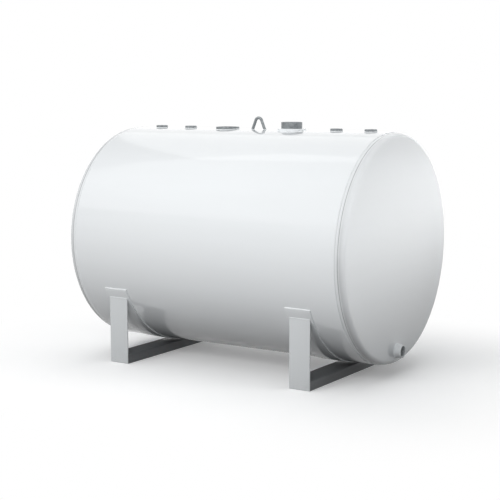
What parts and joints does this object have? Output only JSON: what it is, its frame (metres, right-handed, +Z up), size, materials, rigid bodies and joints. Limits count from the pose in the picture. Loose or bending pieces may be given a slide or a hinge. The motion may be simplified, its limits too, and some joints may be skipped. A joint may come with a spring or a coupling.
{
  "type": "farm fuel tank",
  "caption": "Horizontal cylindrical farm fuel tank with flat flanged ends, threaded bungs, vent riser and lifting lug on the crown, an end drain coupling and low skid stands.",
  "frame": {"origin": "middle of the footprint's bounding box, at ground level under the stands", "axes": "+X along the tank towards the end with the drain, -Y towards the front, +Z up"},
  "size_m": [1.7652, 1.2191, 1.3596],
  "materials": {
    "tank_paint": "gloss white enamel",
    "stand_paint": "gloss white enamel",
    "fitting_steel": "plain grey steel, lightly oxidised"
  },
  "bodies": {
    "root": {"shell": "tank_paint", "left_head": "tank_paint", "right_head": "tank_paint", "left_head_weld": "tank_paint", "right_head_weld": "tank_paint", "shell_seam_weld": "tank_paint", "left_saddle": "tank_paint", "right_saddle": "tank_paint", "vent_riser_ring": "tank_paint", "drain_coupling": "tank_paint", "drain_coupling_weld": "tank_paint", "crown_fitting_welds": "tank_paint", "lifting_lug_welds": "tank_paint", "left_front_leg": "stand_paint", "left_rear_leg": "stand_paint", "right_front_leg": "stand_paint", "right_rear_leg": "stand_paint", "left_crossbar": "stand_paint", "right_crossbar": "stand_paint", "left_stand_welds": "stand_paint", "right_stand_welds": "stand_paint", "left_end_bung": "fitting_steel", "left_inner_bung": "fitting_steel", "right_inner_bung": "fitting_steel", "right_end_bung": "fitting_steel", "large_bung": "fitting_steel", "vent_riser": "fitting_steel", "lifting_lug": "fitting_steel"}
  },
  "joints": []
}
